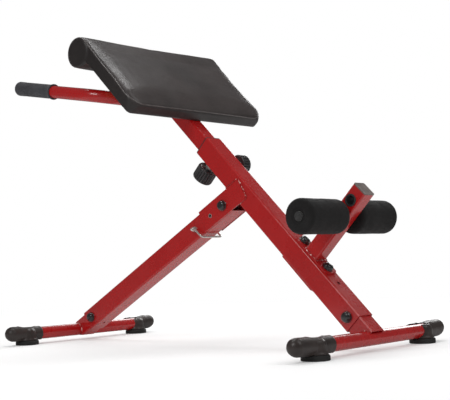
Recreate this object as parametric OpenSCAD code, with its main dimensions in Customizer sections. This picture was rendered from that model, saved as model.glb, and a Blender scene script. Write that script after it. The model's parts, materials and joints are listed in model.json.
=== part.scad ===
// Roman chair: a 45 degree back extension bench with a folding front leg.
// X runs from the handles (-X) to the rear base (+X), Y across, Z up from the floor.
// The origin is on the floor, midway between the two base bars.

/* [Overall] */
// Distance between the two base bars
bar_spacing = 1123.5; // [1050:0.5:1200]
// Lean of the main tube from the floor, in degrees
beam_angle = 45; // [43:0.5:47]
// Height of the base bars' centres
bar_height = 32.5; // [31.5:0.5:34]

/* [Main tube] */
// Outside width of the square main tube
main_w = 60; // [58:0.5:62]
// Wall of the main tube
main_wall = 2; // [2:0.5:3]
// Distance from the rear bar to the main tube's lower end
main_start = 51; // [45:1:60]
// Distance from the rear bar to the main tube's upper end
main_end = 763; // [755:1:775]

/* [Pad mast] */
// Outside width of the sliding mast
mast_w = 46; // [44:0.5:47]
// Distance from the rear bar to the mast's lower end
mast_start = 480; // [470:1:500]
// Distance from the rear bar to the mast's upper end
mast_end = 1062; // [1055:1:1070]
// Spacing of the height holes
mast_pitch = 25; // [20:5:30]

/* [Front leg] */
// Outside width of the leg tube
leg_w = 59.4; // [58:0.2:59.4]
// Distance of the leg pivot along the main tube
pivot_along = 584; // [575:1:595]
// Distance of the leg pivot under the main tube's axis
pivot_drop = 72.3; // [71:0.1:76]
// Distance from the front bar to the leg tube's lower end
leg_start = 56; // [50:1:65]

/* [Base bars and feet] */
// Diameter of the base bars
bar_d = 38; // [34:1:40]
// Diameter of the round feet
foot_d = 71; // [60:1:76]
// Height of the round feet
foot_h = 13; // [10:0.5:13]
// Distance of the front feet from the middle
front_foot_y = 228; // [220:1:236]
// Distance of the rear feet from the middle
rear_foot_y = 238; // [230:1:246]
// Half of the front base's length
front_half = 306; // [298:1:314]
// Half of the rear base's length
rear_half = 333; // [325:1:341]

/* [Roller carriage] */
// Distance of the roller post along the main tube
post_along = 270; // [268:1:272]
// Outside width of the roller post
post_w = 45; // [40:1:46]
// Height of the post's top over the main tube's axis
post_top = 261; // [255:1:270]
// Height of the roller axle over the main tube's axis
axle_rise = 167.7; // [160:0.1:175]
// Height of the spare axle hole over the main tube's axis
spare_rise = 224; // [220:1:230]
// Diameter of the foam rollers
roller_d = 90; // [80:1:94]
// Distance of each roller's inner end from the middle
roller_in = 27; // [26:0.5:32]
// Distance of each roller's outer end from the middle
roller_out = 189; // [180:1:200]
// Spacing of the carriage holes in the main tube
hole_pitch = 51.5; // [50:0.5:53]

/* [Thigh pad] */
// Width of the pad
pad_w = 544; // [510:2:550]
// Distance of the pad's lower end along the main tube
pad_start = 849; // [842:1:856]
// Distance of the rolled edge's centre along the main tube
roll_along = 1140; // [1130:1:1150]
// Diameter of the rolled edge
roll_d = 94; // [86:1:98]
// Height of the pad's underside over the main tube's axis
pad_low = 26; // [26:0.5:26]
// Thickness of the pad
pad_t = 42; // [36:1:46]

/* [Handles] */
// Diameter of the handlebar tube
handle_d = 38; // [30:1:38]
// Distance of each handle from the middle
handle_y = 222; // [200:1:230]
// Rise of the handles towards the front, in degrees
handle_rise = 11.2; // [8:0.2:15]
// Distance of the handlebar's cross tube along the main tube
handle_along = 1026; // [1015:1:1035]
// Length of each grip
grip_len = 176; // [150:1:190]
// Diameter of each grip
grip_d = 45; // [42:0.5:46]

/* [Knobs] */
// Diameter of the pop-pin's knob
knob_d = 61; // [46:1:62]
// Diameter of the clamp screw's knob
clamp_d = 57; // [46:1:60]
// Distance of the pop-pin along the main tube
pin_along = 720; // [714:1:725]
// Distance of the clamp screw along the main tube
clamp_along = 677; // [668:1:680]
// Rise of the clamp screw over the main tube's axis
clamp_rise = 6; // [0:1:8]

/* [Hidden] */
$fn = 48;

// Colours
red = [0.62, 0.04, 0.04];
black = [0.1, 0.1, 0.1];
soft_black = [0.16, 0.15, 0.15];
steel = [0.75, 0.75, 0.77];
plug_grey = [0.4, 0.42, 0.42];
plywood = [0.7, 0.55, 0.35];

// Where the base bars and the leg's pivot are
rear_x = bar_spacing / 2;
front_x = -bar_spacing / 2;
pivot_x = rear_x - pivot_along * cos(beam_angle) - pivot_drop * sin(beam_angle);
pivot_z = bar_height + pivot_along * sin(beam_angle) - pivot_drop * cos(beam_angle);
leg_len = norm([pivot_x - front_x, pivot_z - bar_height]);
leg_angle = atan2(pivot_z - bar_height, pivot_x - front_x);

// Clearances: bolts in their holes, shafts that turn, parts that slide
bolt_gap = 0.1;
run_gap = 0.05;
slide_gap = 0.1;

// Tubes
corner_r = 5;
stub_w = main_w - 2 * main_wall - 2;
stub_wall = 2.5;
stub_len = 145;
leg_wall = 2;
leg_stub_w = 52;
leg_stub_len = 180;
mast_wall = 2;
bar_wall = 2;

// Bolts and their domed caps
bolt_d = 10;
pivot_d = 12;
cap_d = 28;
cap_h = 12;
cap_socket = 6;
rear_bolt_along = 75.8;
front_bolt_along = 83.4;

// Leg bracket, measured along the leg from the front bar
bracket_start = 663.5;
bracket_end = 838;
bracket_web = 4;
bracket_ear = 3.5;
web_gap = 0.5;
mitre_gap = 12;
sleeve_d = 18;
latch_hole_along = 697;
latch_hole_d = 9;
drain_hole_along = 98;

// Lock pin and bail, measured along the leg from the front bar
lock_along = 623;
lock_d = 8.8;
lug_y = -41;
bail_tilt = 21.5;
bail_d = 6;
bail_stub_d = 5;
bail_drop = 43;
bail_side = 5.6;
bail_far_y = 43;

// Carriage
plate_t = 4;
plate_len = 142;
plate_w = 52;
carriage_bolt_rise = main_w / 2 + plate_t;
post_wall = 2;
bush_d = 30;
bush_flange_d = 37;
bush_flange = 2.5;
axle_d = 25;
axle_wall = 2;
axle_half = roller_out - 1;
roller_round = 20;

// Pad
roll_rise = pad_low - 3.5;
board_t = 12;
board_inset = 12;
cross_plate_t = 3;
cross_plate_w = 38;
cross_plate_half = 140;
cross_plate_at = [905, 1010];
screw_y = 110;

// Mast fittings
liner_len = 60;
liner_flange = 3;
glide_len = 40;
plug_t = 4;

// Handles
handle_wall = 2;
handle_bend = 75;
saddle_t = 2;
handle_drop = mast_w / 2 + handle_d / 2 + saddle_t;
grip_round = 10;
grip_tip = 391;
grip_wall_end = 4;

// Pop-pin: distances under the main tube's axis
plunger_d = 10;
plunger_tip = mast_w / 2 + 0.3;
barrel_end = 46;
collar_top = main_w / 2 + 0.3;
collar_t = 3;
knob_ribs = 24;

// ---------- frames ----------

// Along the main tube: x up the tube from the rear bar, z square to it
module on_beam() {
    translate([rear_x, 0, bar_height]) rotate([0, beam_angle, 0]) mirror([1, 0, 0]) children();
}

// Along the front leg: x up the leg from the front bar, z square to it
module on_leg() {
    translate([front_x, 0, bar_height]) rotate([0, -leg_angle, 0]) children();
}

// At the handlebar's cross tube, with -x along the handles
module on_handle() {
    handle_x = rear_x - handle_along * cos(beam_angle) - handle_drop * sin(beam_angle);
    handle_z = bar_height + handle_along * sin(beam_angle) - handle_drop * cos(beam_angle);
    translate([handle_x, 0, handle_z]) rotate([0, handle_rise, 0]) children();
}

// ---------- shapes that repeat ----------

module rounded_square(w, r) {
    square([w, w - 2 * r], center = true);
    square([w - 2 * r, w], center = true);
    for (sx = [-1, 1], sy = [-1, 1]) translate([sx * (w / 2 - r), sy * (w / 2 - r)]) circle(r = r);
}

module tube_section(w, wall, r = corner_r) {
    difference() {
        rounded_square(w, r);
        rounded_square(w - 2 * wall, r - wall + 1);
    }
}

// Square tube along +x, between two distances
module square_tube(w, wall, from, to) {
    translate([from, 0, 0]) rotate([90, 0, 90]) linear_extrude(to - from) tube_section(w, wall);
}

// Cylinder along y, between two values of y
module rod_y(d, from, to) {
    translate([0, from, 0]) rotate([-90, 0, 0]) cylinder(d = d, h = to - from);
}

// Cylinder along z, between two values of z
module rod_z(d, from, to) {
    translate([0, 0, from]) cylinder(d = d, h = to - from);
}

// Domed cap standing on z = 0, with a socket for the bolt's end
module domed_cap() {
    rim = 2.5;
    dome_r = (pow(cap_d / 2, 2) + pow(cap_h - rim, 2)) / (2 * (cap_h - rim));
    difference() {
        rotate_extrude() union() {
            square([cap_d / 2, rim]);
            intersection() {
                translate([0, cap_h - dome_r]) circle(r = dome_r, $fn = 96);
                translate([0, rim]) square([cap_d / 2, cap_h]);
            }
        }
        translate([0, 0, -1]) cylinder(d = bolt_d + 3, h = cap_socket + 1);
    }
}

// A pair of domed caps on the faces y = -half and y = half
module caps_across(half) {
    translate([0, half, 0]) rotate([-90, 0, 0]) domed_cap();
    translate([0, -half, 0]) rotate([90, 0, 0]) domed_cap();
}

// Bolt along y whose ends stand in its caps
module bolt_across(d, half) {
    rod_y(d, -half - cap_socket + 0.5, half + cap_socket - 0.5);
}

// Ribbed round knob on z = 0, of the given height
module ribbed_knob(d, h) {
    rib_d = 4;
    difference() {
        rotate_extrude() union() {
            square([d / 2 - 4, h]);
            translate([0, 4]) square([d / 2, h - 8]);
            translate([d / 2 - 4, 4]) circle(r = 4);
            translate([d / 2 - 4, h - 4]) circle(r = 4);
        }
        for (i = [0 : knob_ribs - 1])
            rotate(i * 360 / knob_ribs) translate([d / 2 + 0.7, 0, -1]) cylinder(d = rib_d, h = h + 2);
        translate([0, 0, -1]) cylinder(d = bolt_d, h = h - 8);
    }
}

// Plan of an end cap, which reaches further along the bar on its -x side
module cap_plan(end_y, long_y, short_y) {
    r = 9;
    translate([-40, long_y]) square([40, end_y + 1 - long_y]);
    translate([-40, short_y]) square([80, end_y + 1 - short_y]);
    difference() {
        translate([-1, short_y - r]) square(r + 1);
        translate([r, short_y - r]) circle(r = r);
    }
}

// Moulded end cap on a base bar's +y end, with a round end and a boss over its foot
module end_cap(foot_y, end_y, long_y, short_y) {
    sleeve_r = bar_d / 2 + 3.5;
    full_len = end_y - long_y + 10;
    scoop_r = 60;
    difference() {
        union() {
            intersection() {
                translate([0, end_y - full_len, bar_height]) rotate([-90, 0, 0]) rotate_extrude() union() {
                    square([sleeve_r, full_len - sleeve_r]);
                    intersection() {
                        translate([0, full_len - sleeve_r]) circle(r = sleeve_r);
                        square([sleeve_r, full_len]);
                    }
                }
                linear_extrude(100) cap_plan(end_y, long_y, short_y);
            }
            translate([0, foot_y, foot_h]) rotate_extrude() union() {
                square([foot_d / 2 - 8, bar_height - foot_h]);
                square([foot_d / 2 - 3, 10]);
                intersection() {
                    translate([foot_d / 2 - 8, 10]) circle(r = 5);
                    square([foot_d, bar_height - foot_h]);
                }
            }
        }
        translate([0, 0, bar_height]) rod_y(bar_d, long_y - 20, end_y - 36);
        translate([0, foot_y, 0]) rod_z(foot_d, -1, foot_h);
        translate([0, foot_y + 6, bar_height + bar_d / 2 + 1 + scoop_r]) rotate([0, 90, 0])
            cylinder(r = scoop_r, h = 24, center = true);
    }
}

// Round foot on the floor
module round_foot(foot_y) {
    edge = 2;
    translate([0, foot_y, 0]) rotate_extrude() union() {
        square([foot_d / 2, foot_h - edge]);
        square([foot_d / 2 - edge, foot_h]);
        translate([foot_d / 2 - edge, foot_h - edge]) circle(r = edge);
    }
}

module base_bar(half) {
    difference() {
        rod_y(bar_d, -half, half);
        rod_y(bar_d - 2 * bar_wall, -half - 1, half + 1);
    }
}

// Foam roller around the axle, between two values of y
module foam_roller(from, to) {
    length = to - from;
    flat = roller_d / 2 - roller_round;
    difference() {
        translate([0, from, 0]) rotate([-90, 0, 0]) rotate_extrude() union() {
            square([flat, length]);
            translate([0, roller_round]) square([roller_d / 2, length - 2 * roller_round]);
            translate([flat, roller_round]) circle(r = roller_round);
            translate([flat, length - roller_round]) circle(r = roller_round);
        }
        rod_y(axle_d + 2 * run_gap, from - 1, to + 1);
    }
}

// ---------- rear frame ----------

module rear_base_bar() {
    color(red) translate([rear_x, 0, bar_height]) base_bar(rear_half - 36.2);
}

module rear_stub() {
    color(red) on_beam() difference() {
        square_tube(stub_w, stub_wall, 0, stub_len);
        rod_y(bar_d, -stub_w, stub_w);
        translate([rear_bolt_along, 0, 0]) rod_y(bolt_d + 2 * bolt_gap, -stub_w, stub_w);
    }
}

module rear_end_cap_far() {
    color(soft_black) translate([rear_x, 0, 0]) end_cap(rear_foot_y, rear_half, 182, 243);
}

module rear_end_cap_near() {
    color(soft_black) translate([rear_x, 0, 0]) rotate(180) end_cap(rear_foot_y, rear_half, 182, 243);
}

module rear_foot_far() {
    color(black) translate([rear_x, 0, 0]) round_foot(rear_foot_y);
}

module rear_foot_near() {
    color(black) translate([rear_x, 0, 0]) round_foot(-rear_foot_y);
}

module main_tube() {
    through = main_w;
    color(red) on_beam() difference() {
        square_tube(main_w, main_wall, main_start, main_end);
        translate([rear_bolt_along, 0, 0]) rod_y(bolt_d + 2 * bolt_gap, -through, through);
        for (i = [-2 : 2]) translate([post_along + i * hole_pitch, 0, 0])
            rod_z(bolt_d + 2 * bolt_gap, -through, through);
        translate([pin_along, 0, 0]) rod_z(plunger_d + 2 * run_gap, -through, 0);
        translate([clamp_along, 0, clamp_rise]) rod_y(bolt_d + 2 * run_gap, 0, through);
    }
}

module rear_stub_bolt() {
    color(steel) on_beam() translate([rear_bolt_along, 0, 0]) bolt_across(bolt_d, main_w / 2);
}

module rear_stub_bolt_caps() {
    color(black) on_beam() translate([rear_bolt_along, 0, 0]) caps_across(main_w / 2);
}

module mast_liner() {
    inner = mast_w + 2 * slide_gap;
    color(black) on_beam() difference() {
        union() {
            translate([main_end - liner_len, 0, 0]) rotate([90, 0, 90]) linear_extrude(liner_len)
                rounded_square(main_w - 2 * main_wall, corner_r - main_wall + 1);
            translate([main_end, 0, 0]) rotate([90, 0, 90]) linear_extrude(liner_flange)
                rounded_square(main_w - 1, corner_r);
        }
        translate([main_end - liner_len - 1, 0, 0]) rotate([90, 0, 90])
            linear_extrude(liner_len + liner_flange + 2) rounded_square(inner, corner_r);
        translate([pin_along, 0, 0]) rod_z(plunger_d + 2 * run_gap, -main_w, 0);
    }
}

module clamp_nut() {
    color(red) on_beam() translate([clamp_along, 0, clamp_rise]) difference() {
        translate([0, main_w / 2, 0]) rotate([-90, 0, 0]) cylinder(d = 24, h = 12, $fn = 6);
        rod_y(bolt_d + 2 * run_gap, main_w / 2 - 1, main_w);
    }
}

module leg_bracket() {
    channel_w = main_w;
    outer_w = channel_w + 2 * bracket_ear;
    web_top = leg_w / 2 + web_gap + bracket_web;
    low = -leg_w / 2;
    tip_r = 9;
    bend_r = 4;
    length = bracket_end - bracket_start;
    color(red) difference() {
        on_leg() translate([bracket_start, 0, 0]) rotate([90, 0, 90]) linear_extrude(length) difference() {
            union() {
                translate([-outer_w / 2, low]) square([outer_w, web_top - low - bend_r]);
                translate([-outer_w / 2 + bend_r, low]) square([outer_w - 2 * bend_r, web_top - low]);
                for (side = [-1, 1]) translate([side * (outer_w / 2 - bend_r), web_top - bend_r]) circle(r = bend_r);
            }
            translate([-channel_w / 2, low - 1]) square([channel_w, web_top - bracket_web - low + 1]);
        }
        on_leg() rotate([90, 0, 0]) linear_extrude(2 * outer_w, center = true) for (side = [-1, 1])
            translate([bracket_end, side > 0 ? web_top : low]) mirror([0, side > 0 ? 0 : 1]) difference() {
                translate([-tip_r, -tip_r]) square(2 * tip_r);
                translate([-tip_r, -tip_r]) circle(r = tip_r);
            }
        on_beam() translate([1, -main_w / 2 - 0.02, -main_w / 2]) cube([main_end, main_w + 0.04, 2 * main_w]);
        on_leg() translate([leg_len, 0, 0]) rod_y(pivot_d + 2 * bolt_gap, -outer_w, outer_w);
        on_leg() translate([latch_hole_along, 0, 0]) rod_y(latch_hole_d, -outer_w, outer_w);
    }
}

module pivot_bolt() {
    color(steel) on_leg() translate([leg_len, 0, 0]) bolt_across(pivot_d, main_w / 2 + bracket_ear);
}

module pivot_bolt_caps() {
    color(black) on_leg() translate([leg_len, 0, 0]) caps_across(main_w / 2 + bracket_ear);
}

module pop_pin_barrel() {
    outer = 24;
    bore = 17.4;
    end_t = 2;
    color(steel) on_beam() translate([pin_along, 0, 0]) difference() {
        rod_z(outer, -barrel_end, -main_w / 2);
        rod_z(bore, -barrel_end + end_t, -main_w / 2 + 1);
        rod_z(plunger_d + 2 * run_gap, -barrel_end - 1, -main_w / 2);
    }
}

// ---------- roller carriage ----------

module carriage_plate_shape(rise) {
    chamfer = 8;
    half = plate_len / 2;
    half_w = plate_w / 2;
    on_beam() translate([post_along, 0, rise]) difference() {
        linear_extrude(plate_t) polygon([
            [-half, -half_w + chamfer], [-half + chamfer, -half_w], [half - chamfer, -half_w],
            [half, -half_w + chamfer], [half, half_w - chamfer], [half - chamfer, half_w],
            [-half + chamfer, half_w], [-half, half_w - chamfer]
        ]);
        for (side = [-1, 1]) translate([side * hole_pitch, 0, 0]) rod_z(bolt_d + 2 * bolt_gap, -1, plate_t + 1);
    }
}

module carriage_plate() {
    color(red) carriage_plate_shape(main_w / 2);
}

module clamp_plate() {
    color(red) carriage_plate_shape(-main_w / 2 - plate_t);
}

module carriage_bolts() {
    head_h = 6.5;
    low = -carriage_bolt_rise;
    high = carriage_bolt_rise + cap_socket - 0.5;
    color(steel) on_beam() for (side = [-1, 1]) translate([post_along + side * hole_pitch, 0, 0]) union() {
        rod_z(bolt_d, low, high);
        translate([0, 0, low - head_h]) cylinder(d = 19, h = head_h, $fn = 6);
    }
}

module carriage_bolt_caps() {
    color(black) on_beam() for (side = [-1, 1])
        translate([post_along + side * hole_pitch, 0, carriage_bolt_rise]) domed_cap();
}

module roller_post() {
    color(red) on_beam() translate([post_along, 0, 0]) difference() {
        translate([0, 0, carriage_bolt_rise]) linear_extrude(post_top - carriage_bolt_rise)
            tube_section(post_w, post_wall);
        for (rise = [axle_rise, spare_rise]) translate([0, 0, rise]) rod_y(bush_d + 0.2, -post_w, post_w);
    }
}

module post_cap() {
    flange = 3;
    plug_depth = 15;
    color(plug_grey) on_beam() translate([post_along, 0, post_top]) union() {
        linear_extrude(flange) rounded_square(post_w, corner_r);
        translate([0, 0, -plug_depth]) linear_extrude(plug_depth)
            tube_section(post_w - 2 * post_wall - 0.4, 2, corner_r - post_wall + 1.5);
    }
}

// Flanged bushes in the post's two side walls
module bush_pair(rise) {
    on_beam() translate([post_along, 0, rise]) for (side = [0, 180]) rotate(side) difference() {
        union() {
            rod_y(bush_d, post_w / 2 - 8, post_w / 2);
            rod_y(bush_flange_d, post_w / 2, post_w / 2 + bush_flange);
        }
        rod_y(axle_d + 2 * bolt_gap, 0, post_w);
    }
}

module axle_bushes() {
    color(black) bush_pair(axle_rise);
}

module spare_bushes() {
    color(black) bush_pair(spare_rise);
}

module roller_axle() {
    color(steel) on_beam() translate([post_along, 0, axle_rise]) difference() {
        rod_y(axle_d, -axle_half, axle_half);
        rod_y(axle_d - 2 * axle_wall, -axle_half - 1, axle_half + 1);
    }
}

module axle_plugs() {
    plug_in = 14;
    head = 3;
    color(plug_grey) on_beam() translate([post_along, 0, axle_rise]) for (side = [0, 180]) rotate(side) union() {
        rod_y(axle_d - 2 * axle_wall - 0.2, axle_half - plug_in, axle_half);
        rod_y(axle_d - 0.4, axle_half, axle_half + head);
    }
}

module roller_near() {
    color(black) on_beam() translate([post_along, 0, axle_rise]) foam_roller(-roller_out, -roller_in);
}

module roller_far() {
    color(black) on_beam() translate([post_along, 0, axle_rise]) foam_roller(roller_in, roller_out);
}

// ---------- front leg ----------

module front_leg_tube() {
    color(red) difference() {
        on_leg() square_tube(leg_w, leg_wall, leg_start, leg_len + 60);
        on_beam() translate([pivot_along - 150, -main_w, -pivot_drop + mitre_gap]) cube([300, 2 * main_w, 150]);
        on_leg() translate([leg_len, 0, 0]) rod_y(sleeve_d, -leg_w, leg_w);
        on_leg() translate([front_bolt_along, 0, 0]) rod_y(bolt_d + 2 * bolt_gap, -leg_w, leg_w);
        on_leg() translate([lock_along, 0, 0]) rod_y(lock_d + 2 * bolt_gap, -leg_w, leg_w);
        on_leg() translate([latch_hole_along, 0, 0]) rod_y(latch_hole_d, -leg_w, leg_w);
        on_leg() translate([drain_hole_along, 0, 0]) rod_z(8, -leg_w, 0);
    }
}

module pivot_sleeve() {
    color(steel) on_leg() translate([leg_len, 0, 0]) difference() {
        rod_y(sleeve_d, -leg_w / 2, leg_w / 2);
        rod_y(pivot_d + 2 * run_gap, -leg_w, leg_w);
    }
}

module front_stub() {
    color(red) difference() {
        on_leg() square_tube(leg_stub_w, stub_wall, 0, leg_stub_len);
        on_leg() rod_y(bar_d, -leg_w, leg_w);
        on_leg() translate([front_bolt_along, 0, 0]) rod_y(bolt_d + 2 * bolt_gap, -leg_w, leg_w);
        on_leg() translate([drain_hole_along, 0, 0]) rod_z(8, -leg_w, 0);
        translate([front_x - 60, -leg_w, -60]) cube([120, 2 * leg_w, 60 + bar_height - bar_d / 2 + 0.4]);
    }
}

module front_base_bar() {
    color(red) translate([front_x, 0, bar_height]) base_bar(front_half - 36.2);
}

module front_stub_bolt() {
    color(steel) on_leg() translate([front_bolt_along, 0, 0]) bolt_across(bolt_d, leg_w / 2);
}

module front_stub_bolt_caps() {
    color(black) on_leg() translate([front_bolt_along, 0, 0]) caps_across(leg_w / 2);
}

module front_end_cap_far() {
    color(soft_black) translate([front_x, 0, 0]) end_cap(front_foot_y, front_half, 182, 224);
}

module front_end_cap_near() {
    color(soft_black) translate([front_x, 0, 0]) rotate(180) end_cap(front_foot_y, front_half, 182, 224);
}

module front_foot_far() {
    color(black) translate([front_x, 0, 0]) round_foot(front_foot_y);
}

module front_foot_near() {
    color(black) translate([front_x, 0, 0]) round_foot(-front_foot_y);
}

// At the lock pin: y along the pin, -z along the bail's arms
module on_lock() {
    on_leg() translate([lock_along, 0, 0]) rotate([0, -bail_tilt, 0]) children();
}

module lock_pin() {
    lug_t = 5;
    lug_w = 13;
    collar = 3;
    color(steel) on_lock() difference() {
        union() {
            rod_y(lock_d, -leg_w / 2, leg_w / 2 + 7);
            rod_y(16, -leg_w / 2 - collar, -leg_w / 2);
            translate([-lug_t / 2, lug_y, -lug_w / 2]) cube([lug_t, -leg_w / 2 - collar - lug_y, lug_w]);
            translate([0, lug_y, 0]) rotate([0, 90, 0]) cylinder(d = lug_w, h = lug_t, center = true);
        }
        translate([0, lug_y, 0]) rotate([0, 90, 0]) cylinder(d = bail_stub_d + 2 * run_gap, h = 40, center = true);
    }
}

module lock_bail() {
    bend = 9;
    color(steel) on_lock() union() {
        translate([-4.5, lug_y, 0]) rotate([0, 90, 0]) cylinder(d = bail_stub_d, h = bail_side + 4.5);
        translate([bail_side, lug_y, 0]) sphere(d = bail_d);
        translate([bail_side, lug_y, 0]) rod_z(bail_d, -bail_drop + bend, 0);
        translate([bail_side, lug_y + bend, -bail_drop + bend]) rotate([0, -90, 0]) rotate([0, 0, 180])
            rotate_extrude(angle = 90) translate([bend, 0]) circle(d = bail_d);
        translate([bail_side, 0, -bail_drop]) rod_y(bail_d, lug_y + bend, bail_far_y - bend);
        translate([bail_side, bail_far_y - bend, -bail_drop + bend]) rotate([0, -90, 0]) rotate([0, 0, 90])
            rotate_extrude(angle = 90) translate([bend, 0]) circle(d = bail_d);
        translate([bail_side, bail_far_y, 0]) rod_z(bail_d, -bail_drop + bend, -7);
        translate([bail_side, bail_far_y, -7]) sphere(d = bail_d);
    }
}

// ---------- pad mast, pad and handles ----------

module pad_mast() {
    holes = 9;
    color(red) on_beam() difference() {
        square_tube(mast_w, mast_wall, mast_start, mast_end);
        for (i = [0 : holes - 1]) translate([pin_along + (i - 5) * mast_pitch, 0, 0])
            rod_z(plunger_d + 2, -mast_w, 0);
    }
}

module mast_glide() {
    color(black) on_beam() translate([mast_start - 3, 0, 0]) rotate([90, 0, 90]) difference() {
        linear_extrude(glide_len) rounded_square(main_w - 2 * main_wall - 2 * slide_gap, corner_r - main_wall + 1);
        translate([0, 0, 3]) linear_extrude(glide_len) rounded_square(mast_w, corner_r);
        translate([0, 0, -1]) linear_extrude(glide_len) rounded_square(mast_w - 8, corner_r);
    }
}

module mast_plug() {
    depth = 14;
    color(black) on_beam() translate([mast_end, 0, 0]) rotate([90, 0, 90]) union() {
        linear_extrude(plug_t) rounded_square(mast_w, corner_r);
        translate([0, 0, -depth]) linear_extrude(depth)
            tube_section(mast_w - 2 * mast_wall - 0.4, 2, corner_r - mast_wall + 1.5);
    }
}

module cross_plates() {
    color(red) on_beam() for (at = cross_plate_at) difference() {
        translate([at - cross_plate_w / 2, -cross_plate_half, mast_w / 2])
            cube([cross_plate_w, 2 * cross_plate_half, cross_plate_t]);
        for (side = [-1, 1]) translate([at, side * screw_y, 0]) rod_z(6.4, 0, mast_w);
    }
}

module pad_screws() {
    head_d = 13;
    head_h = 4;
    color(steel) on_beam() for (at = cross_plate_at, side = [-1, 1]) translate([at, side * screw_y, 0]) union() {
        rod_z(6, mast_w / 2, pad_low + board_t - 2);
        rod_z(head_d, mast_w / 2 - head_h, mast_w / 2);
    }
}

// Plan of the pad, inset all round: rounded corners at the lower end
module pad_plan(inset, top_at) {
    r = 30 - inset;
    low = pad_start + inset;
    half = pad_w / 2 - inset;
    translate([low + r, -half]) square([top_at - low - r, 2 * half]);
    translate([low, -half + r]) square([r + 1, 2 * half - 2 * r]);
    for (side = [-1, 1]) translate([low + r, side * (half - r)]) circle(r = r);
}

module pad_board() {
    color(plywood) on_beam() translate([0, 0, pad_low]) difference() {
        linear_extrude(board_t) pad_plan(board_inset, roll_along - 45);
        for (at = cross_plate_at, side = [-1, 1]) translate([at, side * screw_y, -1]) cylinder(d = 6.2, h = board_t - 0.5);
    }
}

module thigh_pad() {
    low_slant = 14;
    color(black) on_beam() difference() {
        intersection() {
            translate([0, 0, pad_low - roll_d]) linear_extrude(2 * roll_d) pad_plan(0, roll_along + roll_d);
            rotate([90, 0, 0]) linear_extrude(2 * pad_w, center = true) union() {
                polygon([
                    [pad_start, pad_low], [roll_along, pad_low], [roll_along, pad_low + pad_t],
                    [pad_start + low_slant, pad_low + pad_t]
                ]);
                translate([roll_along, roll_rise]) circle(d = roll_d);
            }
        }
        translate([0, 0, pad_low - 1]) linear_extrude(board_t + 1) pad_plan(board_inset, roll_along - 45);
    }
}

// Centre line of the U-shaped handlebar, swept with a given diameter
module handle_sweep(d, tip) {
    straight = handle_y - handle_bend;
    rod_y(d, -straight, straight);
    for (side = [-1, 1]) {
        translate([-handle_bend, side * straight, 0]) rotate([0, 0, side < 0 ? -90 : 0])
            rotate_extrude(angle = 90) translate([handle_bend, 0]) circle(d = d);
        translate([-handle_bend, side * handle_y, 0]) rotate([0, -90, 0]) cylinder(d = d, h = tip - handle_bend);
    }
}

module handlebar() {
    tube_end = grip_tip - grip_wall_end;
    color(red) on_handle() difference() {
        handle_sweep(handle_d, tube_end);
        handle_sweep(handle_d - 2 * handle_wall, tube_end + 1);
    }
}

module handle_saddle() {
    half = 26;
    half_y = mast_w / 2;
    height = handle_drop - mast_w / 2;
    color(red) on_beam() difference() {
        translate([handle_along - half, -half_y, -handle_drop]) cube([2 * half, 2 * half_y, height]);
        translate([handle_along, 0, -handle_drop]) rod_y(handle_d, -mast_w, mast_w);
    }
}

// Closed-end grip over the end of one handle
module grip() {
    r = grip_d / 2;
    bore_len = grip_len - grip_wall_end;
    translate([-grip_tip, 0, 0]) rotate([0, 90, 0]) difference() {
        rotate_extrude() union() {
            translate([0, grip_round]) square([r, grip_len - grip_round]);
            square([r - grip_round, grip_round + 1]);
            translate([r - grip_round, grip_round]) circle(r = grip_round);
        }
        translate([0, 0, grip_wall_end]) cylinder(d = handle_d + 0.2, h = bore_len + 1);
    }
}

module grip_near() {
    color(black) on_handle() translate([0, -handle_y, 0]) grip();
}

module grip_far() {
    color(black) on_handle() translate([0, handle_y, 0]) grip();
}

// ---------- knobs ----------

module pop_pin_plunger() {
    color(steel) on_beam() translate([pin_along, 0, 0]) union() {
        rod_z(plunger_d, -barrel_end - 32, -plunger_tip);
        rod_z(16.8, -collar_top - collar_t, -collar_top);
    }
}

module pop_pin_knob() {
    color(black) on_beam() translate([pin_along, 0, -barrel_end - 2]) mirror([0, 0, 1]) ribbed_knob(knob_d, 42);
}

module clamp_stud() {
    color(steel) on_beam() translate([clamp_along, 0, clamp_rise]) rod_y(bolt_d, mast_w / 2 + 0.4, 68);
}

module clamp_knob() {
    color(black) on_beam() translate([clamp_along, 47, clamp_rise]) rotate([-90, 0, 0]) ribbed_knob(clamp_d, 33);
}

// ---------- nodes ----------

rear_base_bar();
rear_stub();
rear_end_cap_near();
rear_end_cap_far();
rear_foot_near();
rear_foot_far();
main_tube();
rear_stub_bolt();
rear_stub_bolt_caps();
mast_liner();
clamp_nut();
leg_bracket();
pivot_bolt();
pivot_bolt_caps();
pop_pin_barrel();
carriage_plate();
clamp_plate();
carriage_bolts();
carriage_bolt_caps();
roller_post();
post_cap();
roller_axle();
axle_bushes();
spare_bushes();
axle_plugs();
roller_near();
roller_far();
front_leg_tube();
pivot_sleeve();
front_stub();
front_base_bar();
front_stub_bolt();
front_stub_bolt_caps();
front_end_cap_near();
front_end_cap_far();
front_foot_near();
front_foot_far();
lock_pin();
lock_bail();
pad_mast();
mast_glide();
mast_plug();
cross_plates();
pad_screws();
pad_board();
thigh_pad();
handlebar();
handle_saddle();
grip_near();
grip_far();
pop_pin_plunger();
pop_pin_knob();
clamp_stud();
clamp_knob();
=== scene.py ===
"""Roman chair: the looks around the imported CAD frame. Metres, Z up, the handles towards -X."""

import json
import math

import bmesh
import bpy
from mathutils import Matrix, Vector, noise
from mathutils.bvhtree import BVHTree


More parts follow.
